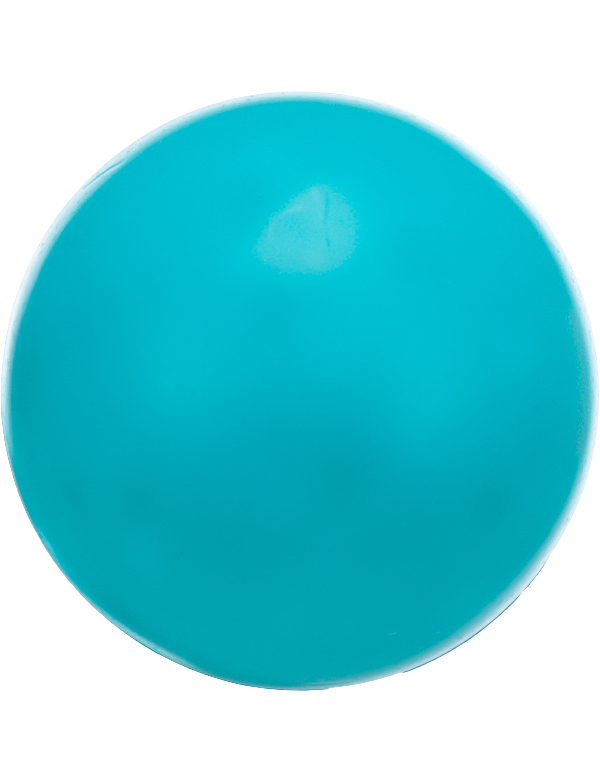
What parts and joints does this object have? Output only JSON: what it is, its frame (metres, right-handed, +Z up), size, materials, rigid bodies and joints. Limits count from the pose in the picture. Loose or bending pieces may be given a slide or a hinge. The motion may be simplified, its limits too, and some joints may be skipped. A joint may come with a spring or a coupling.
{
  "type": "dog ball",
  "caption": "Hollow turquoise rubber dog ball, its half shells cemented rim to rim at a trimmed seam, with a self-sealing inflation plug inside.",
  "frame": {"origin": "centre of the ball", "axes": "+Z up as in the picture, +Y from the front half shell to the rear one, square to the seam, +X to the right"},
  "size_m": [0.0656, 0.065, 0.0656],
  "materials": {
    "shell_rubber": "gloss",
    "seam_cement": "satin",
    "plug_gum": "matte"
  },
  "bodies": {
    "root": {"half_shell_front": "shell_rubber", "half_shell_rear": "shell_rubber", "seam_cement_ring": "seam_cement", "inflation_plug": "plug_gum"}
  },
  "joints": []
}
